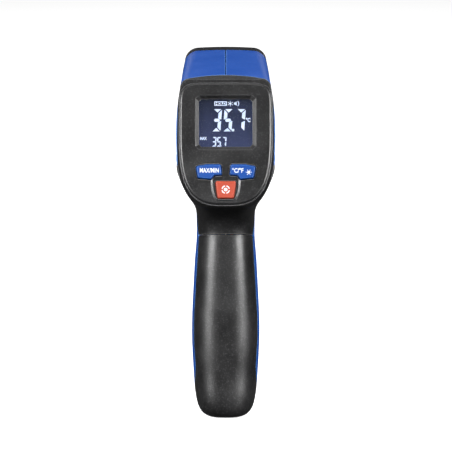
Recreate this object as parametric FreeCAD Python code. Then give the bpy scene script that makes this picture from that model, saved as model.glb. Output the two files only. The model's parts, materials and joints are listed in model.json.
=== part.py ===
"""Pistol-shaped infrared thermometer: a display panel and keys at the back, a lens at the front.

Frame: +X to the user's right, +Y towards the muzzle, +Z up.  The origin is the centre of the flat foot
under the handle.  All sizes are in millimetres.

Panel coordinates are (x, u, h): x as above, u up the tilted control panel from its lowest point, and h
out of the panel towards the user, so that everything inside the housing has a negative h.
"""
import FreeCAD, Part
import math
import os

V = FreeCAD.Vector
X_AXIS = V(1, 0, 0)
Y_AXIS = V(0, 1, 0)

# ---------------------------------------------------------------- driving dimensions
# Barrel
HEAD_REAR_Y = -16.0          # the barrel's loft starts here and is cut back by the panel
HEAD_FRONT_Y = 78.0          # front end of the two coloured shells
MUZZLE_Y = 86.0              # front face of the nose ring
TOP_REAR = 143.4             # top of the barrel at HEAD_REAR_Y
TOP_FRONT = 145.3            # top of the barrel at HEAD_FRONT_Y
BELLY_Z = 100.5              # underside of the barrel
SKIN = 2.2                   # wall thickness of the shells
GAP = 0.15                   # half of the visible gap between neighbouring housing parts
WIDE = 40.0                  # cutting tools reach this far to each side
FAR = 60.0                   # and this far behind the handle
CEILING = 160.0              # and this high

# Control panel
PANEL_FOOT = V(0, -12.0, 92.7)
PANEL_TILT = 22.5            # degrees from vertical
PANEL_STEP = 1.2             # height the panel stands proud of the cover round it
PANEL_SKIN = 2.4             # thickness of the panel's wall
PANEL_HALF = 19.4            # half width of the panel
PANEL_FOOT_U = 0.3
PANEL_WAIST_U = 34.0         # where the panel is widest
PANEL_TOP_U = 52.7
WINDOW_U = 35.45             # centre of the display
WINDOW_HALF = (11.3, 10.3)   # half width and half height of the clear window
WINDOW_FRAME = 1.5           # width of the bevel round the window
WINDOW_DEPTH = 1.1           # how far the clear window lies below the panel
KEY_PROUD = 1.1              # height of the key tops above the panel
KEY_GAP = 0.3
KEY_TRAVEL = 0.7
KEY_FLANGE = 0.7             # how far a key's flange reaches beyond its face
KEY_CROWN = 0.45             # height of the softened edge round a key's face
PLUNGER_END_H = -5.2         # where a key's plunger ends behind the panel
PANE = 1.1                   # thickness of the clear window, which also overlaps its hole this much
PANE_LIP = 0.5               # thickness of the recess's floor in front of the window
BOARD_H = -10.0              # main board's inner face in panel coordinates
BOARD_THICK = 1.6
DISPLAY = (13.4, 23.4, 47.6)     # half width, foot and top of the liquid crystal cell
DISPLAY_FRONT_H = -3.0
CELL = 2.6                   # thickness of the cell and of the light guide behind it

# Handle
RAKE = 16.4                  # degrees the handle leans
GRIP_THICK = 1.3             # soft layer moulded over the back and foot of the handle
GRIP_TOP = 76.9              # level of the joint between rear cover and grip, at GRIP_REAR_Y
GRIP_REAR_Y = 2.0
SEAM_CORNER = 0.9            # blue corner of the shells between cover and grip
BATTERY = (17.5, 26.5, 46.4)     # 9 V block without its terminals
BATTERY_MID = V(0, 8.5, 35.6)
SNAP_TOP = 4.4               # top of the connector above the battery's case

# Optics
OPTIC_Z = 118.0
LENS_R = 9.5
LENS_Y = 78.0                # rear face of the lens
TUBE_R = 11.5
LASER_Z = 136.0
LASER_R = 3.2
TUBE_FRONT_Y = MUZZLE_Y - 5.6    # the lens tube and the laser end here, against the nose ring
SENSOR_BOARD_Y = 50.8        # rear face of the detector's board
SENSOR_LEAD = 1.8            # the detector's leads lie this far off its axis

# Trigger and battery door
TRIGGER_PIVOT = V(0, 43.2, 95.8)
TRIGGER_HALF = 6.0
TRIGGER_PIN_R = 1.25
TRIGGER_PIN_HALF = 9.0
RUNNING = 0.05               # radial clearance of a pin in its bore
SPRING_Z = 80.0
SPRING_SEAT_Y = 31.0
SPRING_LENGTH = 11.4
DOOR_PIVOT = V(0, 18.3, 13.0)
DOOR_TONGUE = 5.2
DOOR_TOP = 64.0
DOOR_WRAP = 6.2              # how far the door reaches round the front of the handle
DOOR_PIN_R = 0.8
DOOR_PIN_HALF = 8.0

# Fasteners
SHELL_SCREWS = [(70.0, 103.8), (42.0, 138.0), (27.0, 70.0), (-2.5, 7.0)]     # (y, z)
SCREW_SEAT_X = 8.0           # the shell screws' heads bear here
SCREW_HEAD = (2.0, 1.6)      # radius and height
SCREW_R = 1.0
BOARD_SCREWS = [(9.0, 50.8), (11.4, 7.4)]                                    # (x, u), both sides
BOARD_SCREW_R = 0.8
POST_R = 2.1                 # posts that carry the main board

UP = V(0, math.sin(math.radians(PANEL_TILT)), math.cos(math.radians(PANEL_TILT)))
OUT = V(0, -UP.z, UP.y)
AXIS = V(0, math.sin(math.radians(RAKE)), math.cos(math.radians(RAKE)))    # up the handle
FORTH = V(0, AXIS.z, -AXIS.y)                                              # square to it, forwards


# ---------------------------------------------------------------- geometry helpers
def on_panel(shape):
    """Moves a shape drawn as (x, u, h) on to the control panel."""
    placed = shape.copy()
    placed.Placement = FreeCAD.Placement(PANEL_FOOT, FreeCAD.Rotation(X_AXIS, 90 - PANEL_TILT))
    return placed


def panel_point(x, u, h):
    return PANEL_FOOT + X_AXIS * x + UP * u + OUT * h


def box(low, high):
    return Part.makeBox(high[0] - low[0], high[1] - low[1], high[2] - low[2], V(*low))


def rod(radius, start, end):
    return Part.makeCylinder(radius, (end - start).Length, start, end - start)


def cross_rod(radius, centre, half):
    """Cylinder across the housing, `half` to each side of its centre."""
    return rod(radius, centre - X_AXIS * half, centre + X_AXIS * half)


def bore_along(radius, start_y, end_y, z, x=0.0):
    """Cylinder along the barrel."""
    return rod(radius, V(x, start_y, z), V(x, end_y, z))


def fuse_all(shapes):
    return shapes[0].fuse(shapes[1:]).removeSplitter()


def smooth(points):
    curve = Part.BSplineCurve()
    curve.interpolate(Points=points)
    return curve.toShape()


def polygon(points):
    return Part.makePolygon(points + [points[0]])


def prism(wire, direction):
    return Part.Face(wire).extrude(direction)


def side_prism(edges, half):
    """Extrudes an outline drawn in the plane x = 0 to both sides."""
    wire = Part.Wire(edges)
    wire.translate(X_AXIS * -half)
    return prism(wire, X_AXIS * (2 * half))


def side_polygon(pairs, half):
    return side_prism(polygon([V(0, y, z) for y, z in pairs]).Edges, half)


def above(low):
    """All the space round the housing above a level."""
    return box((-WIDE, -FAR, low), (WIDE, 2 * FAR, CEILING))


def oval(half_width, low, high, low_power, high_power, count=40):
    """Evenly spaced points of a superellipse whose lower and upper halves differ in reach and power."""
    steps = 720
    fine = []
    for i in range(steps + 1):
        a = 2 * math.pi * i / steps
        c, s = math.cos(a), math.sin(a)
        power, reach = (high_power, high) if s >= 0 else (low_power, low)
        x = half_width * math.copysign(abs(c) ** (2 / power), c)
        t = reach * math.copysign(abs(s) ** (2 / power), s)
        fine.append((x, t))
    lengths = [0.0]
    for (x0, t0), (x1, t1) in zip(fine, fine[1:]):
        lengths.append(lengths[-1] + math.hypot(x1 - x0, t1 - t0))
    points = []
    j = 0
    for k in range(count):
        target = lengths[-1] * k / count
        while lengths[j + 1] < target:
            j += 1
        share = (target - lengths[j]) / (lengths[j + 1] - lengths[j])
        (x0, t0), (x1, t1) = fine[j], fine[j + 1]
        points.append((x0 + (x1 - x0) * share, t0 + (t1 - t0) * share))
    return points


def mirrored_outline(points):
    return [(-x, u) for x, u in reversed(points)]


def closed_spline(points):
    curve = Part.BSplineCurve()
    curve.interpolate(Points=points, PeriodicFlag=True)
    return Part.Wire([curve.toShape()])


def cord(points, radius):
    """Round lead along straight runs joined by tangent arcs, each as large as its two runs allow."""
    runs = [b - a for a, b in zip(points, points[1:])]
    edges = []
    start = points[0]
    for corner, before, after in zip(points[1:], runs, runs[1:]):
        turn = before.getAngle(after)
        cut = 0.45 * min(before.Length, after.Length)
        enter = corner - V(before).normalize() * cut
        leave = corner + V(after).normalize() * cut
        bisector = (V(after).normalize() - V(before).normalize()).normalize()
        bend = cut / math.tan(turn / 2)
        middle = corner + bisector * (bend / math.cos(turn / 2) - bend)
        edges.append(Part.LineSegment(start, enter).toShape())
        edges.append(Part.Arc(enter, middle, leave).toShape())
        start = leave
    edges.append(Part.LineSegment(start, points[-1]).toShape())
    path = Part.Wire(edges)
    section = Part.Wire([Part.makeCircle(radius, points[0], runs[0])])
    return path.makePipeShell([section], True, False)


# ---------------------------------------------------------------- outer form
# Handle sections: height, rearmost y, foremost y, half width.  Above the neck they flare back and out
# into the head; the panel's cut takes off what reaches behind it.
HANDLE_STATIONS = [
    (0.0, -13.6, 13.8, 9.0),
    (0.9, -16.0, 16.2, 10.7),
    (2.6, -17.4, 17.6, 11.8),
    (6.0, -17.6, 18.7, 12.8),
    (16.0, -14.8, 21.8, 13.9),
    (28.0, -11.5, 25.5, 14.6),
    (40.0, -8.1, 29.3, 14.6),
    (52.0, -4.8, 33.0, 14.0),
    (64.0, -1.5, 36.8, 13.3),
    (74.0, 1.3, 39.9, 12.6),
    (79.0, 2.3, 41.5, 12.7),
    (83.0, 1.4, 42.7, 12.8),
    (86.5, -1.7, 43.8, 13.4),
    (89.5, -6.4, 44.7, 14.4),
    (92.5, -13.0, 45.6, 15.6),
    (97.0, -21.0, 47.0, 17.5),
    (102.0, -26.0, 48.0, 19.7),
    (108.0, -30.0, 49.0, 20.8),
    (116.0, -32.0, 49.0, 20.9),
]
NECK_Z = 80.0
HEAD_FLOOR = 90.0            # below the barrel's belly
HANDLE_POWER = 2.8
HEAD_POWER = 3.8


def handle_body(inset=0.0):
    wires = []
    for z, rear, front, half in HANDLE_STATIONS:
        power = min(HEAD_POWER, HANDLE_POWER + max(0.0, z - NECK_Z) * 0.06)
        reach = (front - rear) / 2 - inset
        ring_points = oval(half - inset, reach, reach, power, power)
        wires.append(closed_spline([V(x, (rear + front) / 2 + t, z) for x, t in ring_points]))
    return Part.makeLoft(wires, True, False)


def head_section(y, top, crown, corner, shoulder, side, inset):
    """Barrel section: crowned top, rounded shoulders, swelling sides and a rounded belly."""
    right = [
        V(0, y, top - inset),
        V(crown[0] - 0.3 * inset, y, crown[1] - inset),
        V(corner[0] - 0.8 * inset, y, corner[1] - 0.8 * inset),
        V(shoulder[0] - inset, y, shoulder[1] - 0.3 * inset),
        V(side[0] - inset, y, side[1]),
        V(20.85 - inset, y, 112.0),
        V(18.2 - 0.7 * inset, y, 103.5 + 0.7 * inset),
        V(11.0 - 0.2 * inset, y, BELLY_Z + inset),
    ]
    left = [V(-p.x, p.y, p.z) for p in right]
    return Part.Wire([
        Part.Arc(left[1], right[0], right[1]).toShape(),
        Part.Arc(right[1], right[2], right[3]).toShape(),
        Part.Arc(right[3], right[4], right[5]).toShape(),
        Part.Arc(right[5], right[6], right[7]).toShape(),
        Part.LineSegment(right[7], left[7]).toShape(),
        Part.Arc(left[7], left[6], left[5]).toShape(),
        Part.Arc(left[5], left[4], left[3]).toShape(),
        Part.Arc(left[3], left[2], left[1]).toShape(),
    ])


def rear_section(inset=0.0):
    return head_section(HEAD_REAR_Y, TOP_REAR, (17.1, 141.7), (18.8, 140.8),
                        (19.7, 138.6), (20.9, 127.0), inset)


def front_section(y=HEAD_FRONT_Y, inset=0.0, rise=0.0):
    return head_section(y, TOP_FRONT + rise, (12.9, 144.9 + rise), (16.7, 143.2 + rise),
                        (18.7, 139.0 + rise), (20.8, 126.5), inset)


def head_body(inset=0.0):
    return Part.makeLoft([rear_section(inset), front_section(inset=inset)], True, True)


def panel_outline(grow, top_grow, h):
    """The panel's outline at height h, grown by `grow` at the sides and foot and by `top_grow` at the top."""
    low = PANEL_WAIST_U - PANEL_FOOT_U + grow
    high = PANEL_TOP_U - PANEL_WAIST_U + top_grow
    points = oval(PANEL_HALF + grow, low, high, 3.15, 7.0, 64)
    return closed_spline([V(x, PANEL_WAIST_U + t, h) for x, t in points])


def panel_loft(profile):
    return Part.makeLoft([panel_outline(*level) for level in profile], True, False)


def rounded_rear(profile):
    """All the space within the rounded rear edge of the head."""
    base_h = profile[-1][-1]
    return on_panel(panel_loft(profile).fuse(box((-FAR, -2 * FAR, -2 * FAR), (FAR, 2 * FAR, base_h))))


def brow_wedge(inset):
    """What lies above the sloping brow over the panel, or above a plane set in from it."""
    shift_y, shift_z = 0.6 * inset, -0.8 * inset
    corners = [(-12.0, 126.0), (8.0, 141.0), (16.0, 147.0), (-12.0, 147.0)]
    return side_polygon([(y + shift_y, z + shift_z) for y, z in corners], WIDE)


# Profiles as (growth at sides and foot, growth at the top, h), inwards; at the top the brow rises
RAISED_EDGE = [
    (-0.8, -0.8, 0.0),
    (-0.5, -0.5, -0.12),
    (-0.2, -0.2, -0.32),
    (0.0, 0.0, -0.8),
    (0.05, 0.05, -1.6),
]
REAR_EDGE = [
    (0.35, 2.1, -PANEL_STEP),
    (0.75, 3.7, -1.8),
    (1.1, 5.3, -3.0),
    (1.35, 6.3, -4.4),
    (1.45, 6.8, -5.5),
]
REAR_EDGE_INSIDE = [
    (-2.1, -1.2, -2.4),
    (-1.6, -0.5, -3.2),
    (-1.1, 0.7, -4.4),
    (-0.8, 1.8, -5.6),
    (-0.7, 2.3, -6.8),
]


def outer_form():
    """Barrel and handle as one solid, rounded where the cover curves round to the panel."""
    body = head_body().fuse(handle_body())
    body = body.common(rounded_rear(REAR_EDGE)).fuse(on_panel(panel_loft(RAISED_EDGE)))
    return body.cut(brow_wedge(0.0))


def inner_space():
    """The hollow of the head and the upper handle, closed behind the panel's wall."""
    hollow = head_body(SKIN).common(above(HEAD_FLOOR))
    hollow = hollow.fuse(handle_body(SKIN).common(above(DOOR_TOP + 1.5)))
    return hollow.common(rounded_rear(REAR_EDGE_INSIDE)).cut(brow_wedge(SKIN))


def in_bay(shape):
    """Moves a shape drawn round the battery's middle into the raked handle."""
    placed = shape.copy()
    placed.Placement = FreeCAD.Placement(BATTERY_MID, FreeCAD.Rotation(X_AXIS, -RAKE))
    return placed


def battery_bay():
    """Room for the battery, with space over its terminals for the snap and the leads."""
    x, y, z = (size / 2 for size in BATTERY)
    return in_bay(box((-x - 0.5, -y - 0.5, -z - 0.6), (x + 0.5, y + 1.4, z + 9.0)))


# Side view of the joint between the black cover and the coloured shells, from the brow to the neck
COVER_JOINT = [(62.0, -2.9), (52.0, -2.8), (40.0, -2.7), (30.0, -3.4), (20.0, -4.8)]      # (u, h)
NECK_JOINT = [(0.9, 104.5), (5.5, 98.0), (11.5, 92.0), (15.4, 86.5), (15.0, 81.0), (11.2, 75.6)]
# Side view of the joint between the grip and the shells, down the handle and round the foot
GRIP_JOINT = [(10.2, 73.6), (5.8, 60.0), (-2.5, 30.0), (-5.8, 17.5), (-3.4, 11.4), (3.0, 9.0)]


def seam_point(y, gap):
    """The joint between cover and grip, square to the handle, moved up it by `gap`."""
    return V(0, y, GRIP_TOP - (y - GRIP_REAR_Y) * math.tan(math.radians(RAKE)) + gap)


def cover_region(gap):
    """Everything behind the cover's joint; a positive gap draws the joint back into the cover."""
    top, *flank = [panel_point(0, u, h + gap) for u, h in COVER_JOINT]
    neck = [V(0, y - gap, z) for y, z in NECK_JOINT]
    end, far = seam_point(neck[-1].y - SEAM_CORNER, gap), seam_point(-FAR, gap)
    edges = [
        smooth(flank + neck),
        *Part.makePolygon([neck[-1], end, far, V(0, -FAR, top.z), top, flank[0]]).Edges,
    ]
    return side_prism(edges, WIDE)


def grip_region(gap):
    """Everything behind the grip's joint and below its wrap round the foot."""
    joint = [V(0, y - gap, z - gap) for y, z in GRIP_JOINT]
    start, far = seam_point(joint[0].y - SEAM_CORNER, -gap), seam_point(-FAR, -gap)
    foot = V(0, FAR, joint[-1].z)
    below = -5.0
    corners = [joint[-1], foot, V(0, FAR, below), V(0, -FAR, below), far, start, joint[0]]
    edges = [smooth(joint), *Part.makePolygon(corners).Edges]
    return side_prism(edges, WIDE)


def door_point(out, rise):
    """Point in the side view measured from the door's hinge: out of the handle, and up along it."""
    return DOOR_PIVOT + FORTH * out + AXIS * rise


def door_prism(corners, half):
    return side_prism(polygon([door_point(*corner) for corner in corners]).Edges, half)


def door_region(gap):
    """Side-view prism of the battery door's panel; a positive gap makes it smaller."""
    top = (DOOR_TOP - DOOR_PIVOT.z) / AXIS.z
    inner = 2.4 - DOOR_WRAP + gap
    corners = [(inner, 2.6 + gap), (14, 2.6 + gap), (14, top - gap), (inner, top - gap)]
    return door_prism(corners, WIDE)


def door_tongue():
    """The hinge end of the door: a barrel round the pin and the web that joins it to the panel."""
    web = door_prism([(-0.4, 0), (4, 0), (4, 3.2), (-0.4, 3.2)], DOOR_TONGUE)
    return cross_rod(1.9, DOOR_PIVOT, DOOR_TONGUE).fuse(web)


def door_pocket():
    """Room in the shells for the door's hinge end over its whole swing."""
    half = DOOR_TONGUE + 0.25
    swing = cross_rod(3.0, DOOR_PIVOT, half)
    web_room = door_prism([(-3.0, 0), (6, 0), (6, 4), (-3.0, 4)], half)
    foot_room = door_prism([(0, 0), (8, 0), (8, 2.7), (0, 2.7)], WIDE)
    return swing.fuse([web_room, foot_room.cut(cross_rod(2.3, DOOR_PIVOT, WIDE))])


def trigger_slot():
    """Opening in the front of the handle that the trigger swings in."""
    half = TRIGGER_HALF + 0.35
    low, high = 69.6, 99.9
    return box((-half, 36.6, low), (half, 62, high))


def parting_groove():
    """Shallow vee along the top of the barrel where the two shells meet."""
    start, end = V(0, -10, TOP_REAR + 0.12), V(0, HEAD_FRONT_Y + 1, TOP_FRONT + 0.02)
    vee = polygon([start + V(-0.42, 0, 0.3), start + V(0.42, 0, 0.3), start + V(0, 0, -0.5)])
    return prism(vee, end - start)


def screw_stack(y, z, which):
    """One shell screw's boss, hole or head pocket; the head lies in the right-hand shell."""
    if which == "boss":
        return cross_rod(2.6, V(0, y, z), 25)
    if which == "hole":
        return rod(SCREW_R, V(-7, y, z), V(WIDE, y, z))
    return rod(SCREW_HEAD[0] + 0.1, V(SCREW_SEAT_X, y, z), V(WIDE, y, z))


def bulkhead():
    """Rib across the head that holds the optical tube."""
    plate = head_body(SKIN).common(box((-WIDE, 62.0, HEAD_FLOOR), (WIDE, 64.0, CEILING)))
    hole = bore_along(TUBE_R, 50, 80, OPTIC_Z)
    return plate.cut(hole.fuse(box((-4.6, 50, OPTIC_Z), (4.6, 80, LASER_Z + LASER_R + 1.6))))


def spring_seat():
    """Rib behind the trigger that backs the return spring, and the shelf that holds the switch."""
    rib = box((-12, SPRING_SEAT_Y - 2, SPRING_Z - 4), (12, SPRING_SEAT_Y, SPRING_Z + 4))
    shelf = box((-12, SPRING_SEAT_Y - 2, SPRING_Z + 5), (-3.2, SPRING_SEAT_Y + 2, SPRING_Z + 11))
    return rib.fuse(shelf).common(handle_body(SKIN - 0.4))


def board_screw_places():
    return [(side * x, u) for x, u in BOARD_SCREWS for side in (-1, 1)]


def board_posts(radius):
    """Posts inside the cover that the main board is screwed to."""
    base, end = -PANEL_SKIN + 0.6, BOARD_H + BOARD_THICK
    return [on_panel(rod(radius, V(x, u, base), V(x, u, end))) for x, u in board_screw_places()]


def grip_core():
    """What the soft layer is moulded over."""
    return handle_body(GRIP_THICK).common(above(GRIP_THICK))


def both_shells(form, hollow):
    """The two coloured shells before they are parted down the middle."""
    bare = form.cut(cover_region(-GAP)).cut(grip_region(-GAP))
    under_grip = grip_core().common(grip_region(-GAP)).cut(cover_region(-GAP))
    shells = bare.fuse(under_grip).cut(hollow).cut(battery_bay())
    bosses = [screw_stack(y, z, "boss") for y, z in SHELL_SCREWS]
    inside = fuse_all([bosses[0], *bosses[1:]]).common(hollow).cut(cover_region(-GAP))
    ears = cross_rod(3.2, TRIGGER_PIVOT, 25).cut(cross_rod(4.0, TRIGGER_PIVOT, TRIGGER_HALF + 0.5))
    shells = shells.fuse([inside, ears.common(hollow), bulkhead(), spring_seat()])
    openings = [door_region(-GAP), door_pocket(), trigger_slot(), parting_groove()]
    for opening in openings + board_posts(POST_R + GAP):
        shells = shells.cut(opening)
    for y, z in SHELL_SCREWS:
        shells = shells.cut(screw_stack(y, z, "hole")).cut(screw_stack(y, z, "head"))
    return shells.cut(trigger_pin()).cut(door_pin())


def trigger_pin():
    return cross_rod(TRIGGER_PIN_R, TRIGGER_PIVOT, TRIGGER_PIN_HALF)


def door_pin():
    return cross_rod(DOOR_PIN_R, DOOR_PIVOT, DOOR_PIN_HALF)


def largest(shape):
    """The largest solid of a cut shape; what is left besides it are slivers."""
    return max(shape.Solids, key=lambda solid: solid.Volume)


def half_of(shells, side):
    """One shell: what lies on the given side of the middle."""
    low, high = sorted((side * GAP, side * WIDE))
    return largest(shells.common(box((low, -FAR, -5), (high, 2 * FAR, CEILING))))


# ---------------------------------------------------------------- housing parts
def pane_blank(room, back):
    """Block of the clear window's outline, with room round it, from its front back to h = back."""
    x, t = (half + PANE + room for half in WINDOW_HALF)
    return box((-x, WINDOW_U - t, back), (x, WINDOW_U + t, -WINDOW_DEPTH - PANE_LIP))


def window_opening():
    """Bevelled recess of the display, down to the clear window, and the hole behind it."""
    width, height = WINDOW_HALF
    chamfer = 1.1

    def frame(grow, h):
        x, t, c = width + grow, height + grow, chamfer + 0.3 * grow
        right = [(x - c, -t), (x, c - t), (x, t - c), (x - c, t)]
        return polygon([V(px, WINDOW_U + pt, h) for px, pt in right + mirrored_outline(right)])

    bevel = Part.makeLoft([frame(WINDOW_FRAME, 0.0), frame(0.0, -WINDOW_DEPTH)], True, True)
    lip = Part.makeLoft([frame(WINDOW_FRAME, 1.0), frame(WINDOW_FRAME, 0.0)], True, True)
    hole = prism(frame(0.0, -WINDOW_DEPTH), V(0, 0, -3))
    return lip.fuse([bevel, hole, pane_blank(0.1, -3.0)])


# Outlines of the keys' faces, (x, u) at the panel's surface
SIDE_KEY = [(-12.5, 16.0), (-11.9, 16.6), (-8.2, 17.3), (-2.6, 17.3), (-2.0, 16.8), (-1.65, 13.2),
            (-2.1, 12.7), (-4.9, 12.6), (-6.2, 10.9), (-11.3, 11.4), (-11.8, 11.9)]
LASER_KEY = [(-4.3, 9.6), (-3.9, 10.1), (3.9, 10.1), (4.3, 9.6), (3.9, 5.8), (3.45, 3.2), (3.0, 2.8),
             (-3.0, 2.8), (-3.45, 3.2), (-3.9, 5.8)]


def key_outline(points, grow, h):
    """Closed outline of a key, grown evenly all round."""
    wire = polygon([V(x, u, 0) for x, u in points])
    if grow:
        wire = wire.makeOffset2D(grow, 2)
    wire.translate(V(0, 0, h))
    return wire


def key_hole(points):
    return prism(key_outline(points, KEY_GAP, 2.0), V(0, 0, -8))


def flange_room(points):
    """Room behind the panel's wall in which a key's flange moves."""
    return prism(key_outline(points, KEY_FLANGE + 2 * GAP, -PANEL_SKIN), V(0, 0, -3))


def key_cap(points, plunger):
    """Key with a softened face, a flange behind the panel and a plunger towards its switch."""
    flange_h = -PANEL_SKIN - GAP
    edge_h = KEY_PROUD - KEY_CROWN
    edge = key_outline(points, 0, edge_h)
    skirt = prism(edge, V(0, 0, flange_h - edge_h))
    crown = Part.makeLoft([edge, key_outline(points, -0.4, KEY_PROUD)], True, True)
    flange = prism(key_outline(points, KEY_FLANGE, flange_h), V(0, 0, -0.9))
    x, u = plunger
    stem = rod(1.5, V(x, u, flange_h - 0.4), V(x, u, PLUNGER_END_H))
    return fuse_all([skirt, crown, flange, stem])


KEYS = {
    "max_min_key": (SIDE_KEY, (-7.6, 14.3)),
    "unit_key": (mirrored_outline(SIDE_KEY), (7.6, 14.3)),
    "laser_key": (LASER_KEY, (0.0, 6.4)),
}


def collar():
    """Raised rib in the shape of a U round the laser key, with a sloping outer side."""
    left = [(-6.6, 12.4), (-6.65, 8.6), (-6.2, 5.6), (-5.5, 3.4), (-4.5, 1.9), (-3.2, 1.35)]
    outline = left + mirrored_outline(left)
    outer = Part.makeLoft([key_outline(outline, 0.0, -0.2), key_outline(outline, -1.1, 0.35)], True, True)
    inner = prism(key_outline(outline, -1.15, -1), V(0, 0, 3))
    return outer.cut(inner).common(box((-20, 0, -1), (20, 10.9, 1)))


def rear_cover(form, hollow):
    cover = form.common(cover_region(GAP)).cut(hollow)
    cover = cover.fuse(board_posts(POST_R)).fuse(on_panel(collar()))
    holes = [window_opening()]
    for outline, _ in KEYS.values():
        holes += [key_hole(outline), flange_room(outline)]
    holes += [rod(BOARD_SCREW_R, V(x, u, BOARD_H), V(x, u, -3.4)) for x, u in board_screw_places()]
    for hole in holes:
        cover = cover.cut(on_panel(hole))
    return largest(cover)


def rear_grip(form):
    grip = form.common(grip_region(GAP)).cut(grip_core())
    for y, z in SHELL_SCREWS:
        grip = grip.cut(screw_stack(y, z, "head"))
    return largest(grip)


def nose_ring():
    """Black muzzle: a sighting cone for the lens, the laser's aperture above it, and a spigot."""
    sections = [front_section(HEAD_FRONT_Y + GAP, 0.0, 0.3), front_section(MUZZLE_Y - 1.2, 0.0, 0.5),
                front_section(MUZZLE_Y - 0.35, 0.4, 0.5), front_section(MUZZLE_Y, 1.2, 0.5)]
    body = Part.makeLoft(sections, True, True)
    spigot_ends = HEAD_FRONT_Y - 3.9, HEAD_FRONT_Y + 1
    space_ends = HEAD_FRONT_Y - 5, TUBE_FRONT_Y
    spigot = Part.makeLoft([front_section(y, SKIN + 0.1) for y in spigot_ends], True, True)
    space = Part.makeLoft([front_section(y, SKIN + 1.9) for y in space_ends], True, True)
    cone = Part.makeCone(LENS_R - 0.6, 15.5, 5.7, V(0, TUBE_FRONT_Y, OPTIC_Z), Y_AXIS)
    aperture = Part.makeCone(2.2, 3.4, 2.0, V(0, MUZZLE_Y - 2, LASER_Z), Y_AXIS)
    bore = bore_along(2.2, MUZZLE_Y - 6, MUZZLE_Y - 1.9, LASER_Z)
    seat = bore_along(2.8, MUZZLE_Y - 6, MUZZLE_Y - 3, LASER_Z)
    ring_body = body.fuse(spigot)
    for hole in (space, cone, aperture, bore, seat):
        ring_body = ring_body.cut(hole)
    return ring_body


def battery_door(form):
    """Front of the handle, hinged at its foot, with thumb grooves near the top."""
    door = form.common(door_region(GAP).fuse(door_tongue())).cut(handle_body(2.0))
    door = door.fuse(door_tongue().common(form))
    top = (DOOR_TOP - DOOR_PIVOT.z) / AXIS.z
    for k in range(5):
        door = door.cut(cross_rod(1.0, door_point(3.05, top - 5.0 - 2.4 * k), 5.0))
    return largest(door.cut(cross_rod(DOOR_PIN_R + RUNNING, DOOR_PIVOT, DOOR_PIN_HALF)))


def trigger():
    """Finger lever with a hollowed front, a pivot bore at the top and a pocket for its spring."""
    front = [V(0, 51.6, 98.6), V(0, 48.6, 91.5), V(0, 46.7, 84.0), V(0, 47.2, 77.0), V(0, 49.2, 72.0)]
    toe = [V(0, 49.0, 70.6), V(0, 47.0, 70.3)]
    back = [V(0, 41.0, 71.0), V(0, 38.6, 80.0)]
    crown = [V(0, 38.2, 94.0), V(0, 41.5, 99.4), V(0, 50.6, 99.4)]
    edges = [
        smooth(front),
        Part.Arc(front[-1], *toe).toShape(),
        *Part.makePolygon([toe[-1], *back, *crown, front[0]]).Edges,
    ]
    lever = side_prism(edges, TRIGGER_HALF)
    sides = [e for e in lever.Edges if abs(abs(e.CenterOfMass.x) - TRIGGER_HALF) < 0.01]
    lever = lever.makeFillet(1.2, [e for e in sides if e.CenterOfMass.y > 42 and e.CenterOfMass.z < 95])
    pocket = bore_along(2.9, SPRING_SEAT_Y - 1, SPRING_SEAT_Y + SPRING_LENGTH, SPRING_Z)
    bore = cross_rod(TRIGGER_PIN_R + RUNNING, TRIGGER_PIVOT, TRIGGER_PIN_HALF)
    return lever.cut(pocket).cut(bore)


def trigger_spring():
    wire_r, coil_r, turns = 0.3, 2.1, 6
    length = SPRING_LENGTH - 2 * wire_r
    helix = Part.makeHelix(length / turns, length, coil_r)
    section = Part.Wire([Part.makeCircle(wire_r, V(coil_r, 0, 0), Y_AXIS)])
    coil = Part.Wire(helix.Edges).makePipeShell([section], True, True)
    base = V(0, SPRING_SEAT_Y + wire_r, SPRING_Z)
    coil.Placement = FreeCAD.Placement(base, FreeCAD.Rotation(X_AXIS, -90))
    return coil


# ---------------------------------------------------------------- optics
def sensor_tube():
    """Optical barrel with a seat for the thermopile and a cradle for the laser module."""
    tube = bore_along(TUBE_R, SENSOR_BOARD_Y + 1.6, TUBE_FRONT_Y, OPTIC_Z)
    tube = tube.fuse(box((-4.4, 62.0, OPTIC_Z + 8), (4.4, 74.0, LASER_Z + 1.5)))
    light_path = bore_along(LENS_R + 0.05, 56, 90, OPTIC_Z)
    can_seat = bore_along(4.15, 50, 60, OPTIC_Z)
    flange_seat = bore_along(4.7, 50, 53.3, OPTIC_Z)
    return tube.cut([light_path, can_seat, flange_seat, bore_along(LASER_R, 60, 90, LASER_Z)])


def lens():
    """Plano-convex infrared lens, domed towards the target."""
    rim = bore_along(LENS_R, LENS_Y, LENS_Y + 1.4, OPTIC_Z)
    dome_r = 46.0
    ball = Part.makeSphere(dome_r, V(0, LENS_Y + 2.4 - dome_r, OPTIC_Z))
    dome = ball.common(bore_along(LENS_R, LENS_Y + 1.3, LENS_Y + 3, OPTIC_Z))
    return fuse_all([rim, dome])


def lens_retainer():
    band = bore_along(LENS_R, LENS_Y - 1.6, LENS_Y, OPTIC_Z)
    return band.cut(bore_along(LENS_R - 1.4, LENS_Y - 2, LENS_Y + 1, OPTIC_Z))


def thermopile_sensor():
    """Metal-can detector with a flange and four leads through its board."""
    can = bore_along(4.1, 53.0, 57.2, OPTIC_Z)
    aperture = bore_along(1.6, 56.9, 58, OPTIC_Z)
    flange = bore_along(4.6, SENSOR_BOARD_Y + 1.6, 53.2, OPTIC_Z)
    return fuse_all([can.cut(aperture), flange, *sensor_leads(SENSOR_BOARD_Y - 2, 52.6)])


def sensor_leads(start_y, end_y):
    offsets = (-SENSOR_LEAD, SENSOR_LEAD)
    return [bore_along(0.25, start_y, end_y, OPTIC_Z + z, x) for x in offsets for z in offsets]


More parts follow.
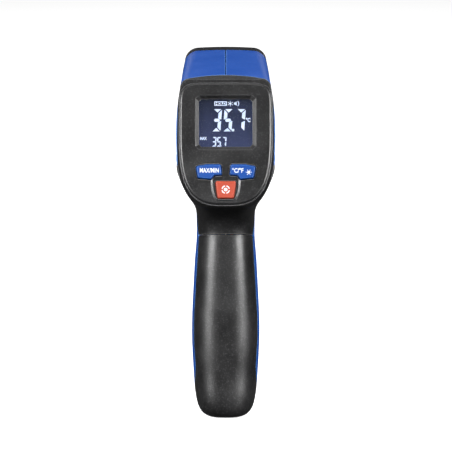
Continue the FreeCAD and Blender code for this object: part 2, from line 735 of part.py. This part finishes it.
def sensor_board():
    board = box((-11, SENSOR_BOARD_Y, OPTIC_Z - 11), (11, SENSOR_BOARD_Y + 1.6, OPTIC_Z + 11))
    return board.cut(sensor_leads(SENSOR_BOARD_Y - 1, SENSOR_BOARD_Y + 2))


def laser_module():
    """Brass diode housing, bored at the front for the beam."""
    barrel = bore_along(LASER_R, 62.5, TUBE_FRONT_Y, LASER_Z)
    return barrel.cut(bore_along(1.2, TUBE_FRONT_Y - 2.4, MUZZLE_Y, LASER_Z))


def laser_window():
    return bore_along(2.7, MUZZLE_Y - 4.0, MUZZLE_Y - 3.0, LASER_Z)


# ---------------------------------------------------------------- display and electronics
def display_window():
    return pane_blank(0.0, -WINDOW_DEPTH - PANE_LIP - PANE)


def display_stack():
    """Liquid crystal cell, its light guide and the frame that clips both to the main board."""
    def block(grow, back, front):
        x, low, high = DISPLAY
        return box((-x - grow, low - grow, back), (x + grow, high + grow, front))

    middle_h = DISPLAY_FRONT_H - CELL
    back_h = middle_h - CELL
    frame = block(1.0, BOARD_H + BOARD_THICK, DISPLAY_FRONT_H + 0.1)
    frame = frame.cut(block(0.0, back_h, 0.0)).cut(block(-1.5, BOARD_H - 2, 0.0))
    return {
        "lcd_glass": block(0.0, middle_h, DISPLAY_FRONT_H),
        "lcd_backlight": block(0.0, back_h, middle_h),
        "lcd_frame": frame,
    }


def main_board():
    right = [(12.5, 4.0), (16.4, 12.0), (16.4, 48.0), (13.0, 53.0)]
    outline = polygon([V(x, u, BOARD_H) for x, u in right + mirrored_outline(right)])
    board = prism(outline, V(0, 0, BOARD_THICK))
    return board.cut([rod(1.0, V(x, u, BOARD_H - 1), V(x, u, 0)) for x, u in board_screw_places()])


def board_components():
    """Processor, amplifier, regulator and connectors on the board's inner face, as separate solids."""
    packages = [
        (-9.0, 34.0, 9.0, 9.0, 1.4),      # x, u, width, depth and height of the processor
        (6.0, 38.0, 5.0, 6.0, 1.5),
        (7.5, 45.0, 6.0, 3.0, 1.2),
        (-10.0, 22.0, 4.0, 5.0, 1.6),
        (0.0, 44.0, 3.0, 5.0, 1.1),
    ]
    blocks = []
    for x, u, width, depth, height in packages:
        low = (x - width / 2, u - depth / 2, BOARD_H - height)
        high = (x + width / 2, u + depth / 2, BOARD_H)
        blocks.append(box(low, high))
    return blocks


def key_switches():
    """Three tact switches, each a square body with a round button under its key's plunger."""
    switches = []
    face = BOARD_H + BOARD_THICK
    for _, (x, u) in KEYS.values():
        body = box((x - 2.3, u - 2.3, face), (x + 2.3, u + 2.3, face + 1.7))
        button_end = PLUNGER_END_H - KEY_TRAVEL - 0.1
        switches.append(body.fuse(rod(1.2, V(x, u, face + 1.6), V(x, u, button_end))))
    return switches


def buzzer():
    """Round sounder on the board's inner face, with its sound hole."""
    u = 16.0
    can = rod(5.0, V(0, u, BOARD_H), V(0, u, BOARD_H - 3.2))
    return can.cut(rod(0.7, V(0, u, BOARD_H - 2), V(0, u, BOARD_H - 10)))


def board_screws():
    screws = []
    for x, u in board_screw_places():
        head = rod(1.7, V(x, u, BOARD_H - 1.2), V(x, u, BOARD_H))
        screws.append(head.fuse(rod(BOARD_SCREW_R, V(x, u, BOARD_H - 0.5), V(x, u, -3.6))))
    return screws


def shell_screws():
    """Self-tapping screws with cross-recessed heads, from the right-hand shell into the left."""
    radius, height = SCREW_HEAD
    top = SCREW_SEAT_X + height
    floor = top - 0.7
    arm, half = 1.2, 0.25
    screws = []
    for y, z in SHELL_SCREWS:
        head = rod(radius, V(SCREW_SEAT_X, y, z), V(top, y, z))
        shank = rod(SCREW_R, V(-6.8, y, z), V(SCREW_SEAT_X + 0.2, y, z))
        slots = []
        for dy, dz in ((arm, half), (half, arm)):
            slots.append(box((floor, y - dy, z - dz), (top + 1, y + dy, z + dz)))
        screws.append(head.fuse(shank).cut(slots))
    return screws


def trigger_switch():
    """Switch body with a plunger that the trigger's back presses."""
    front = SPRING_SEAT_Y + 4.6
    body = box((-3.2, SPRING_SEAT_Y - 1.8, SPRING_Z + 5.2), (3.2, front, SPRING_Z + 10.8))
    return body.fuse(bore_along(0.9, front - 0.1, front + 1.5, SPRING_Z + 9))


# ---------------------------------------------------------------- battery and leads
def battery():
    width, depth, height = BATTERY
    block = Part.makeBox(width, depth, height, V(-width / 2, -depth / 2, -height / 2))
    block = block.makeFillet(2.2, [e for e in block.Edges if abs(e.Length - height) < 0.01])
    return in_bay(block.fuse(terminals()))


def terminals():
    """The battery's two studs, drawn round its middle."""
    base = BATTERY[2] / 2
    spacing, height = 6.35, 2.6
    return [rod(r, V(0, y, base), V(0, y, base + height)) for y, r in ((-spacing, 2.8), (spacing, 3.6))]


def battery_snap():
    base = BATTERY[2] / 2
    plate = box((-6.2, -12.6, base + 0.4), (6.2, 12.6, base + SNAP_TOP))
    return in_bay(plate.cut(terminals()))


def battery_lead(side):
    start = BATTERY_MID + AXIS * (BATTERY[2] / 2 + SNAP_TOP) + X_AXIS * (side * 2.5) - FORTH * 4
    end = panel_point(side * 3.5, 9.0, BOARD_H)
    return cord([start, start + AXIS * 9, end - OUT * 13 - UP * 2, end], 0.65)


def sensor_cable():
    start = panel_point(7.0, 29.0, BOARD_H)
    end = V(7.0, SENSOR_BOARD_Y, OPTIC_Z)
    return cord([start, start - OUT * 12, end - Y_AXIS * 12, end], 1.1)


# ---------------------------------------------------------------- all parts
def all_parts():
    form = outer_form()
    hollow = inner_space()
    shells = both_shells(form, hollow)
    parts = {
        "left_shell": half_of(shells, -1),
        "right_shell": half_of(shells, 1),
        "rear_cover": rear_cover(form, hollow),
        "rear_grip": rear_grip(form),
        "nose_ring": nose_ring(),
        "battery_door": battery_door(form),
        "trigger": trigger(),
        "trigger_spring": trigger_spring(),
        "trigger_pin": trigger_pin(),
        "door_pin": door_pin(),
        "trigger_switch": trigger_switch(),
        "sensor_tube": sensor_tube(),
        "lens": lens(),
        "lens_retainer": lens_retainer(),
        "thermopile_sensor": thermopile_sensor(),
        "sensor_board": sensor_board(),
        "laser_module": laser_module(),
        "laser_window": laser_window(),
        "battery": battery(),
        "battery_snap": battery_snap(),
        "battery_lead_red": battery_lead(1),
        "battery_lead_black": battery_lead(-1),
        "sensor_cable": sensor_cable(),
        "shell_screws": Part.Compound(shell_screws()),
        "display_window": on_panel(display_window()),
        "main_board": on_panel(main_board()),
        "board_components": on_panel(Part.Compound(board_components())),
        "key_switches": on_panel(Part.Compound(key_switches())),
        "buzzer": on_panel(buzzer()),
        "board_screws": on_panel(Part.Compound(board_screws())),
    }
    for name, shape in display_stack().items():
        parts[name] = on_panel(shape)
    for name, (outline, plunger) in KEYS.items():
        parts[name] = on_panel(key_cap(outline, plunger))
    return parts


os.makedirs("parts", exist_ok=True)
for name, shape in all_parts().items():
    shape.exportStep("parts/" + name + ".step")
    print(name, shape.isValid(), len(shape.Solids), round(shape.Volume, 1))
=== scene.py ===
"""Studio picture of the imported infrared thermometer: its finishes, display, key legends, lights and camera.

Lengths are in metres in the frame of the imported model: +Y points to the muzzle and +Z up.  What lies on the
tilted control panel is drawn in millimetres as (x, u): across the panel, and up along it.
"""
import json
import math
import bpy
import bmesh
from mathutils import Matrix, Vector


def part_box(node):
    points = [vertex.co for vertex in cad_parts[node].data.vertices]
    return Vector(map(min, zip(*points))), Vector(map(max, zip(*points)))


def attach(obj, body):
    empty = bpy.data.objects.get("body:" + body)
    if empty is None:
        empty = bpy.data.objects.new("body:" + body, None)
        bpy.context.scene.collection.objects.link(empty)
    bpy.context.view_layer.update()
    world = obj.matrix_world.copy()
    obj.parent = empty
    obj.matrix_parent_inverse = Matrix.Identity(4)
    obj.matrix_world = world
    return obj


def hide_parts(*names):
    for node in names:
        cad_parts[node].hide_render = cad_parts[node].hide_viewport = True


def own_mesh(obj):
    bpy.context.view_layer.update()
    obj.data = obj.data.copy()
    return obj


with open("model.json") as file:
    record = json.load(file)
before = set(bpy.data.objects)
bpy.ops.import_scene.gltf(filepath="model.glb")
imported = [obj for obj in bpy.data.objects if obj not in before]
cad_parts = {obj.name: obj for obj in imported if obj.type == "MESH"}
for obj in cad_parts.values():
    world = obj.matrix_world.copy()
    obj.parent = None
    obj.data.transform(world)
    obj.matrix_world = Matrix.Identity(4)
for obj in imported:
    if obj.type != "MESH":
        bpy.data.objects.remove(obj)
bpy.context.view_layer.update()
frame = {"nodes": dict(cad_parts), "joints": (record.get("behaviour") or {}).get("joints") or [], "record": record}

MM = 0.001
nodes = frame["nodes"]
joints = {joint["name"]: joint for joint in frame["joints"]}
slot_of = {part["node"]: part["material_slot"] for part in frame["record"]["subparts"]}

# The keys are pressed square to the control panel, so their joint's axis gives the panel's directions
OUT = -Vector(joints["laser_press"]["axis"]).normalized()
ACROSS = Vector((1, 0, 0))
UP = OUT.cross(ACROSS).normalized()


# ---------------------------------------------------------------- places read from the frame
def middle(node):
    low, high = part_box(node)
    return (low + high) / 2


def reach(node):
    """How far a node comes out towards the user, square to the panel."""
    return max(vertex.co.dot(OUT) for vertex in nodes[node].data.vertices)


def on_panel(node):
    """Matrix that puts a drawing in millimetres on a node's outer face, centred on the node."""
    centre = middle(node)
    centre += OUT * (reach(node) - centre.dot(OUT))
    turn = Matrix((ACROSS, UP, OUT)).transposed().to_4x4()
    return Matrix.Translation(centre) @ turn @ Matrix.Scale(MM, 4)


# ---------------------------------------------------------------- materials
def colour(red, green, blue):
    """Screen colour, 0 to 255, as a linear one."""
    def linear(value):
        value /= 255
        return value / 12.92 if value <= 0.04045 else ((value + 0.055) / 1.055) ** 2.4
    return (linear(red), linear(green), linear(blue), 1.0)


class Finish:
    """A node material under construction: its tree, its shader, and short ways to add to it."""

    def __init__(self, name, base, roughness, **inputs):
        self.material = bpy.data.materials.new(name)
        self.material.use_nodes = True
        self.tree = self.material.node_tree
        self.shader = self.tree.nodes["Principled BSDF"]
        self.place = self.add("ShaderNodeTexCoord").outputs["Object"]
        self.shader.inputs["Base Color"].default_value = base
        self.shader.inputs["Roughness"].default_value = roughness
        for key, value in inputs.items():
            self.shader.inputs[key.replace("_", " ")].default_value = value

    def add(self, kind, **settings):
        node = self.tree.nodes.new(kind)
        for key, value in settings.items():
            setattr(node, key, value)
        return node

    def link(self, output, target):
        self.tree.links.new(output, target)

    def noise(self, grain, detail=2.0, rough=0.5, stretch=(1, 1, 1)):
        """Noise whose blobs are about `grain` millimetres across."""
        mapping = self.add("ShaderNodeMapping")
        mapping.inputs["Scale"].default_value = [s / (grain * MM) for s in stretch]
        self.link(self.place, mapping.inputs["Vector"])
        noise = self.add("ShaderNodeTexNoise")
        noise.inputs["Scale"].default_value = 1.0
        noise.inputs["Detail"].default_value = detail
        noise.inputs["Roughness"].default_value = rough
        self.link(mapping.outputs["Vector"], noise.inputs["Vector"])
        return noise.outputs["Fac"]

    def spread(self, value, low, high, start=0.3, end=0.7):
        """Maps a value's middle range on to low..high."""
        node = self.add("ShaderNodeMapRange")
        for key, number in (("From Min", start), ("From Max", end), ("To Min", low), ("To Max", high)):
            node.inputs[key].default_value = number
        self.link(value, node.inputs["Value"])
        return node.outputs["Result"]

    def blend(self, share, first, second):
        """Mixes two colours; each is a tuple or another node's output."""
        mix = self.add("ShaderNodeMix", data_type="RGBA")
        self.link(share, mix.inputs[0])
        for socket, value in ((mix.inputs[6], first), (mix.inputs[7], second)):
            if isinstance(value, tuple):
                socket.default_value = value
            else:
                self.link(value, socket)
        return mix.outputs[2]

    def bevel(self, radius):
        """Surface direction with edges rounded to a radius in millimetres."""
        node = self.add("ShaderNodeBevel", samples=6)
        node.inputs["Radius"].default_value = radius * MM
        return node.outputs["Normal"]

    def edges(self, radius):
        """Share of lightening at edges, standing for wear and a painted highlight: from 0 on flat faces to 1 on
        edges sharper than `radius` millimetres.
        """
        geometry = self.add("ShaderNodeNewGeometry")
        dot = self.add("ShaderNodeVectorMath", operation="DOT_PRODUCT")
        self.link(self.bevel(radius), dot.inputs[0])
        self.link(geometry.outputs["Normal"], dot.inputs[1])
        return self.spread(dot.outputs["Value"], 1.0, 0.0, 0.8, 0.995)

    def bump(self, height, depth, soften=0.0):
        """Relief `depth` millimetres deep; a radius to soften rounds sharp edges in the shading."""
        bump = self.add("ShaderNodeBump")
        bump.inputs["Distance"].default_value = depth * MM
        self.link(height, bump.inputs["Height"])
        if soften:
            self.link(self.bevel(soften), bump.inputs["Normal"])
        self.link(bump.outputs["Normal"], self.shader.inputs["Normal"])

    def paint(self, output, socket="Base Color"):
        self.link(output, self.shader.inputs[socket])


SOFT_EDGE = 0.25           # the shading rounds moulded edges to this radius, in millimetres


def moulded(name, base, light, roughness, grain, depth, edge_wear_highlight=None, edge_lightening_reach=0.35, sparse=0.3, **inputs):
    """Spark-eroded plastic: fine grain, faint clouding, and edges lightened and shaded smoother; the lightening
    stands partly for wear and partly is a painted highlight.

    The lightening at edges, partly wear and partly painted highlight, reaches as many millimetres in from the
    edges as the reach argument gives.  The larger `sparse` is, up to 0.6, the fewer light specks there are.
    """
    finish = Finish(name, base, roughness, **inputs)
    fine = finish.noise(grain, 2.0, 0.6)
    cloud = finish.noise(14.0, 3.0)
    speckle = finish.blend(finish.spread(fine, 0.0, 1.0, sparse, 0.7), base, light)
    faded = finish.blend(finish.spread(cloud, 0.0, 0.25), speckle, light)
    # painted highlight: sharp edges are lightened towards a bright colour, which stands both for wear and for
    # light shining off the edges
    worn_and_highlit = finish.blend(finish.spread(finish.edges(edge_lightening_reach), 0.0, 0.8, 0.0, 1.0), faded, edge_wear_highlight or light)
    finish.paint(worn_and_highlit)
    finish.paint(finish.spread(cloud, roughness - 0.05, roughness + 0.06), "Roughness")
    finish.bump(fine, depth, SOFT_EDGE)
    return finish.material


def metal(name, base, roughness, grain, stretch, depth=0.01):
    """Drawn or turned metal: fine lines along or round the piece."""
    finish = Finish(name, base, roughness, Metallic=1.0)
    lines = finish.noise(grain, 3.0, 0.6, stretch)
    finish.paint(finish.spread(lines, roughness - 0.08, roughness + 0.12), "Roughness")
    darker = tuple(0.7 * c for c in base[:3]) + (1.0,)
    finish.paint(finish.blend(finish.spread(lines, 0.0, 1.0), darker, base))
    finish.bump(lines, depth)
    return finish.material


def display_cell():
    """Unlit part of the negative display: deep indigo, a little brighter towards its foot."""
    finish = Finish("lcd", colour(16, 18, 30), 0.12)
    low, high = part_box("lcd_glass")
    split = finish.add("ShaderNodeSeparateXYZ")
    finish.link(finish.place, split.inputs["Vector"])
    rise = finish.spread(split.outputs["Z"], 0.0, 1.0, low.z, high.z)
    glow = finish.blend(rise, colour(72, 80, 114), colour(30, 35, 42))
    patchy = finish.blend(finish.spread(finish.noise(1.2), 0.0, 0.2), glow, colour(40, 46, 66))
    finish.paint(patchy, "Emission Color")
    finish.shader.inputs["Emission Strength"].default_value = 0.85
    return finish.material


def lit_segments():
    """Bright segments, faintly bluish where the light guide is weaker."""
    finish = Finish("lit_segment", colour(70, 76, 90), 0.4)
    patches = finish.spread(finish.noise(2.5), 0.0, 1.0)
    tint = finish.blend(patches, colour(206, 224, 255), colour(236, 244, 255))
    finish.paint(tint, "Emission Color")
    finish.shader.inputs["Emission Strength"].default_value = 1.05
    return finish.material


def clear(name, base, roughness=0.02):
    finish = Finish(name, base, roughness, Transmission_Weight=1.0, IOR=1.49)
    finish.paint(finish.spread(finish.noise(9.0, 2.0), roughness, roughness + 0.03), "Roughness")
    return finish.material


def printed_ink():
    finish = Finish("legend_ink", colour(235, 238, 244), 0.5)
    worn = finish.spread(finish.noise(0.5, 3.0), 0.0, 0.5, 0.45, 0.8)
    finish.paint(finish.blend(worn, colour(238, 241, 247), colour(196, 206, 224)))
    finish.bump(finish.noise(0.25), 0.01)
    return finish.material


def solder_mask():
    """Green board with faint copper tracks under the mask."""
    finish = Finish("board_green", colour(16, 74, 42), 0.35)
    wave = finish.add("ShaderNodeTexWave", bands_direction="X", wave_profile="SIN")
    wave.inputs["Scale"].default_value = 260.0
    wave.inputs["Distortion"].default_value = 3.0
    finish.link(finish.place, wave.inputs["Vector"])
    tracks = finish.spread(wave.outputs["Fac"], 0.0, 1.0, 0.6, 0.75)
    finish.paint(finish.blend(tracks, colour(14, 66, 38), colour(38, 112, 62)))
    finish.bump(tracks, 0.03)
    return finish.material


BLACK = colour(8, 8, 9)
# the colours given for edges below are painted highlights that also stand for wear
materials = {
    "blue_shell": moulded("blue_shell", colour(6, 66, 158), colour(22, 84, 176), 0.42, 0.45, 0.02,
                          edge_wear_highlight=colour(124, 182, 248), edge_lightening_reach=0.6, Specular_IOR_Level=0.3),
    "black_cover": moulded("black_cover", BLACK, colour(52, 52, 53), 0.38, 0.6, 0.04,
                           edge_wear_highlight=colour(136, 136, 138), edge_lightening_reach=0.6, sparse=0.53, Specular_IOR_Level=0.65),
    "black_grip": moulded("black_grip", BLACK, colour(64, 64, 65), 0.34, 0.6, 0.06,
                          edge_wear_highlight=colour(64, 64, 66), sparse=0.54, Specular_IOR_Level=1.0),
    "black_gloss": moulded("black_gloss", colour(24, 24, 26), colour(36, 36, 38), 0.25, 0.6, 0.01),
    "blue_key": moulded("blue_key", colour(6, 58, 136), colour(20, 72, 146), 0.4, 0.4, 0.015,
                        edge_wear_highlight=colour(104, 156, 226)),
    "red_key": moulded("red_key", colour(162, 60, 41), colour(178, 76, 55), 0.4, 0.4, 0.015,
                       edge_wear_highlight=colour(240, 122, 100)),
    "clear_window": clear("clear_window", colour(244, 247, 252)),
    "lcd": display_cell(),
    "light_guide": moulded("light_guide", colour(226, 230, 236), colour(244, 246, 250), 0.5, 1.0, 0.02),
    "board_green": solder_mask(),
    "chip_black": moulded("chip_black", colour(28, 28, 30), colour(46, 46, 48), 0.55, 0.3, 0.02),
    "steel": metal("steel", colour(200, 200, 204), 0.3, 0.4, (0.2, 1, 1)),
    "brass": metal("brass", colour(214, 178, 98), 0.28, 0.3, (1, 0.15, 1)),
    "lens_plastic": moulded("lens_plastic", colour(58, 42, 52), colour(76, 56, 66), 0.12, 2.0, 0.004),
    "laser_glass": clear("laser_glass", colour(232, 120, 108)),
    "battery_can": moulded("battery_can", colour(40, 42, 48), colour(60, 62, 70), 0.3, 3.0, 0.01),
    "lead_red": moulded("lead_red", colour(170, 24, 20), colour(200, 44, 36), 0.45, 0.6, 0.01),
    "lead_black": moulded("lead_black", colour(24, 24, 24), colour(44, 44, 44), 0.45, 0.6, 0.01),
    "lead_grey": moulded("lead_grey", colour(120, 120, 124), colour(146, 146, 150), 0.45, 0.6, 0.01),
}
ink = printed_ink()
segment_light = lit_segments()
for name, node in nodes.items():
    node.data.materials.clear()
    node.data.materials.append(materials[slot_of[name]])
nodes["display_window"].visible_shadow = False      # light reaches the display through the clear pane


# ---------------------------------------------------------------- building pieces
def finish_mesh(name, build, material, body):
    """Turns a bmesh into a closed, welded piece that rides on a body."""
    bmesh.ops.remove_doubles(build, verts=build.verts, dist=1e-7)
    bmesh.ops.recalc_face_normals(build, faces=build.faces)
    mesh = bpy.data.meshes.new(name)
    build.to_mesh(mesh)
    build.free()
    mesh.materials.append(material)
    piece = bpy.data.objects.new(name, mesh)
    bpy.context.scene.collection.objects.link(piece)
    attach(piece, body)
    return piece


def add_slab(build, outline, place, low, high):
    """Closed slab over an outline in millimetres, from height low to high over the face."""
    bottom = [build.verts.new(place @ Vector((x, u, low))) for x, u in outline]
    top = [build.verts.new(place @ Vector((x, u, high))) for x, u in outline]
    build.faces.new(list(reversed(bottom)))
    build.faces.new(top)
    for i, vertex in enumerate(bottom):
        j = (i + 1) % len(outline)
        build.faces.new((vertex, bottom[j], top[j], top[i]))


SUNK = -0.01       # printed and lit pieces start just under the face they lie on


def slabs(name, outlines, place, height, material, body):
    build = bmesh.new()
    for outline in outlines:
        add_slab(build, outline, place, SUNK, height)
    return finish_mesh(name, build, material, body)


def lettering(name, text, middle_at, width, height, place, thick, material, body, weight=0.02):
    """Generic lettering of a given width and height, centred at middle_at."""
    curve = bpy.data.curves.new(name, "FONT")
    curve.body = text
    curve.offset = weight
    curve.extrude = 0.5
    source = bpy.data.objects.new(name + "_source", curve)
    bpy.context.scene.collection.objects.link(source)
    depsgraph = bpy.context.evaluated_depsgraph_get()
    mesh = bpy.data.meshes.new_from_object(source.evaluated_get(depsgraph))
    bpy.data.objects.remove(source)
    build = bmesh.new()
    build.from_mesh(mesh)
    xs = [v.co.x for v in build.verts]
    ys = [v.co.y for v in build.verts]
    fit = Vector((width / (max(xs) - min(xs)), height / (max(ys) - min(ys)), thick - SUNK))
    centre = Vector(((max(xs) + min(xs)) / 2, (max(ys) + min(ys)) / 2, 0))
    for vertex in build.verts:
        local = vertex.co - centre
        point = Vector((local.x * fit.x + middle_at[0], local.y * fit.y + middle_at[1],
                        (local.z + 0.5) * fit.z + SUNK))
        vertex.co = place @ point
    return finish_mesh(name, build, material, body)


def disc(x, u, radius, start=0.0, end=360.0, count=24):
    """Points of a circle or, with other angles, of an arc."""
    steps = count if end - start >= 360 else count + 1
    angles = [math.radians(start + (end - start) * i / count) for i in range(steps)]
    return [(x + radius * math.cos(a), u + radius * math.sin(a)) for a in angles]


def band(x, u, radius, width, start, end, count=12):
    """Outline of an arc-shaped stripe."""
    outer = disc(x, u, radius + width / 2, start, end, count)
    inner = disc(x, u, radius - width / 2, start, end, count)
    return outer + inner[::-1]


def ray(x, u, angle, inner, outer, width):
    """A short stripe that points away from (x, u)."""
    a = math.radians(angle)
    along, side = Vector((math.cos(a), math.sin(a))), Vector((-math.sin(a), math.cos(a))) * (width / 2)
    centre = Vector((x, u))
    corners = [centre + along * inner - side, centre + along * outer - side,
               centre + along * outer + side, centre + along * inner + side]
    return [tuple(c) for c in corners]


def star(x, u, radius, inner, outer, turn):
    """A disc with six rays round it."""
    return [disc(x, u, radius)] + [ray(x, u, 60 * k + turn, inner, outer, 0.26) for k in range(6)]


# ---------------------------------------------------------------- display
LIT = {"3": "abcdg", "5": "acdfg", "7": "abc"}
SLANT = 0.075              # sideways lean of the digits for each unit of height
SEGMENT_GAP = 0.24         # gap between segments, as a share of their width
SEGMENT_THICK = 0.05
BOLD = 0.05                # how much the display's lettering is thickened
glass = on_panel("lcd_glass")


def digit(character, left, base, width, height, stroke):
    """Lit segments of one slanted seven-segment digit, with mitred ends."""
    w, h, s = width, height, stroke
    mid = h / 2
    gap = SEGMENT_GAP * s
    shapes = {
        "a": [(gap, h), (w - gap, h), (w - s - gap, h - s), (s + gap, h - s)],
        "d": [(s + gap, s), (w - s - gap, s), (w - gap, 0), (gap, 0)],
        "g": [(gap + s * 0.15, mid), (s * 0.75, mid + s / 2), (w - s * 0.75, mid + s / 2),
              (w - gap - s * 0.15, mid), (w - s * 0.75, mid - s / 2), (s * 0.75, mid - s / 2)],
        "b": [(w, h - gap), (w, mid + gap), (w - s * 0.6, mid + s * 0.42), (w - s, mid + s * 0.75),
              (w - s, h - s - gap)],
        "c": [(w, mid - gap), (w, gap), (w - s, s + gap), (w - s, mid - s * 0.75),
              (w - s * 0.6, mid - s * 0.42)],
        "f": [(0, mid + gap), (0, h - gap), (s, h - s - gap), (s, mid + s * 0.75), (s * 0.6, mid + s * 0.42)],
    }
    return [[(left + x + SLANT * y, base + y) for x, y in shapes[key]] for key in LIT[character]]


def lit(name, outlines):
    """Bright shapes on the display."""
    slabs(name, outlines, glass, SEGMENT_THICK, segment_light, "housing")


def lit_lettering(name, text, middle_at, width, height):
    lettering(name, text, middle_at, width, height, glass, SEGMENT_THICK, segment_light, "housing",
              BOLD)


def reading(name, text, lefts, base, size, stroke):
    """A row of digits with a decimal point before the last one."""
    outlines = []
    for character, left in zip(text, lefts):
        outlines += digit(character, left, base, *size, stroke)
    half, high, lean = 0.36 * stroke, 0.756 * stroke, 0.1
    x = lefts[-1] - 0.8 * stroke
    foot = [(x - half, base), (x + half, base)]
    top = [(x + half + lean, base + high), (x - half + lean, base + high)]
    lit(name, outlines + [foot + top])


def display():
    reading("big_digits", "357", (-5.9, -1.2, 4.15), -3.35, (3.65, 9.6), 1.38)
    reading("small_digits", "357", (-5.85, -3.85, -1.65), -9.9, (1.75, 4.1), 0.56)
    lit_lettering("unit_sign", "°C", (9.5, 1.6), 2.0, 1.9)
    lit_lettering("max_sign", "MAX", (-9.4, -6.4), 2.8, 1.3)
    lit("hold_flag", [[(-4.8, 7.75), (0.5, 7.75), (0.5, 9.6), (-4.8, 9.6)]])
    lettering("hold_sign", "HOLD", (-2.15, 8.68), 4.7, 1.3, glass, SEGMENT_THICK + 0.03, materials["lcd"],
              "housing", BOLD)
    lit("beam_sign", star(1.95, 8.65, 0.5, 0.7, 1.15, 30))
    cone = [(3.5, 8.25), (3.9, 8.25), (4.65, 7.75), (4.65, 9.6), (3.9, 9.1), (3.5, 9.1)]
    wave = band(4.2, 8.67, 1.35, 0.34, -48, 48)
    lit("beeper_sign", [cone, wave])


display()


# ---------------------------------------------------------------- key legends
INK_THICK = 0.03


def key_legends():
    left, right, red = (on_panel(key) for key in ("max_min_key", "unit_key", "laser_key"))
    lettering("max_min_legend", "MAX/MIN", (0.2, 0.7), 8.0, 2.0, left, INK_THICK, ink, "max_min_key")
    lettering("unit_legend", "°C/°F", (-2.0, 0.7), 4.7, 2.0, right, INK_THICK, ink, "unit_key")
    slabs("lamp_legend", star(2.6, -0.1, 0.62, 0.85, 1.25, 0), right, INK_THICK, ink, "unit_key")
    target = [disc(0, 0.2, 0.75)] + [band(0, 0.2, 1.55, 0.42, 90 * k + 12, 90 * k + 78) for k in range(4)]
    slabs("beam_legend", target, red, INK_THICK, ink, "laser_key")


key_legends()


# ---------------------------------------------------------------- trigger spring
def coil_spring():
    """Round-wire compression spring of the kind that shortens as the trigger is pulled; this one is built at rest
    and rides on the housing.
    """
    low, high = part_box("trigger_spring")
    wire = 0.3 * MM
    radius = (high.x - low.x) / 2 - wire
    turns, per_turn, sides = 6, 24, 8
    along = Vector((0, 1, 0))
    centre_z = (low.z + high.z) / 2
    start, end = low.y + wire, high.y - wire
    build = bmesh.new()
    rings = []
    steps = turns * per_turn
    for i in range(steps + 1):
        share = i / steps
        angle = 2 * math.pi * turns * share
        spoke = Vector((math.cos(angle), 0, math.sin(angle)))
        centre = Vector((0, start + (end - start) * share, centre_z)) + spoke * radius
        circle = []
        for k in range(sides):
            b = 2 * math.pi * k / sides
            outward = spoke * math.cos(b) + along * math.sin(b)
            circle.append(build.verts.new(centre + outward * wire))
        rings.append(circle)
    for first, second in zip(rings, rings[1:]):
        for k in range(sides):
            j = (k + 1) % sides
            build.faces.new((first[k], first[j], second[j], second[k]))
    build.faces.new(rings[0])
    build.faces.new(list(reversed(rings[-1])))
    spring = finish_mesh("return_spring", build, materials["steel"], "housing")
    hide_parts("trigger_spring")
    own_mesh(spring)


coil_spring()


# ---------------------------------------------------------------- floor, light and camera
FLOOR_RADIUS = 6.0


def studio_floor():
    build = bmesh.new()
    bmesh.ops.create_circle(build, cap_ends=True, radius=FLOOR_RADIUS, segments=64)
    mesh = bpy.data.meshes.new("floor")
    build.to_mesh(mesh)
    build.free()
    finish = Finish("paper", (0.9, 0.9, 0.9, 1.0), 0.9)
    finish.shader.inputs["Emission Color"].default_value = (1, 1, 1, 1)
    finish.shader.inputs["Emission Strength"].default_value = 0.8
    mesh.materials.append(finish.material)
    floor = bpy.data.objects.new("floor", mesh)
    floor.visible_diffuse = floor.visible_glossy = False
    bpy.context.scene.collection.objects.link(floor)


AIR_GLOW = 0.055    # light that the white room itself gives the object


def studio_air():
    world = bpy.data.worlds.new("air")
    bpy.context.scene.world = world
    world.use_nodes = True
    tree = world.node_tree
    seen = tree.nodes.new("ShaderNodeLightPath").outputs["Is Camera Ray"]
    level = tree.nodes.new("ShaderNodeMapRange")
    level.inputs["To Min"].default_value = AIR_GLOW
    level.inputs["To Max"].default_value = 1.0
    tree.links.new(seen, level.inputs["Value"])
    tree.links.new(level.outputs["Result"], tree.nodes["Background"].inputs["Strength"])
    tree.nodes["Background"].inputs["Color"].default_value = (1, 1, 1, 1)


AIM = Vector((0.0, 0.020, 0.07635))     # the lamps and the camera face this point of the object


def softbox(name, azimuth, elevation, distance, width, height, watts):
    """Rectangular lamp that faces the object; azimuth 0 is behind the user, positive to their right."""
    a, e = math.radians(azimuth), math.radians(elevation)
    away = Vector((math.sin(a) * math.cos(e), -math.cos(a) * math.cos(e), math.sin(e)))
    lamp = bpy.data.lights.new(name, "AREA")
    lamp.shape = "RECTANGLE"
    lamp.size, lamp.size_y = width, height
    lamp.energy = watts
    holder = bpy.data.objects.new(name, lamp)
    holder.location = AIM + away * distance
    holder.rotation_euler = away.to_track_quat("Z", "Y").to_euler()
    bpy.context.scene.collection.objects.link(holder)


CAMERA_AWAY = 0.9
CAMERA_ELEVATION = 13


def camera():
    elevation = math.radians(CAMERA_ELEVATION)
    data = bpy.data.cameras.new("camera")
    data.lens = 164.5
    data.sensor_width = 36
    data.shift_x = 0.00066
    data.clip_end = 50
    holder = bpy.data.objects.new("camera", data)
    away = Vector((0, -math.cos(elevation), math.sin(elevation)))
    holder.location = AIM + away * CAMERA_AWAY
    holder.rotation_euler = away.to_track_quat("Z", "Y").to_euler()
    bpy.context.scene.collection.objects.link(holder)
    bpy.context.scene.camera = holder


studio_floor()
studio_air()
for side, azimuth in (("left", -1), ("right", 1)):
    softbox(side + "_soft", azimuth * 50, 26, 0.65, 0.32, 0.14, 4.8)
    softbox(side + "_back", azimuth * 150, 35, 1.2, 0.5, 0.5, 3)
softbox("top_soft", 0, 80, 1.0, 0.6, 0.5, 2.3)
camera()
bpy.context.scene.view_settings.view_transform = "Standard"
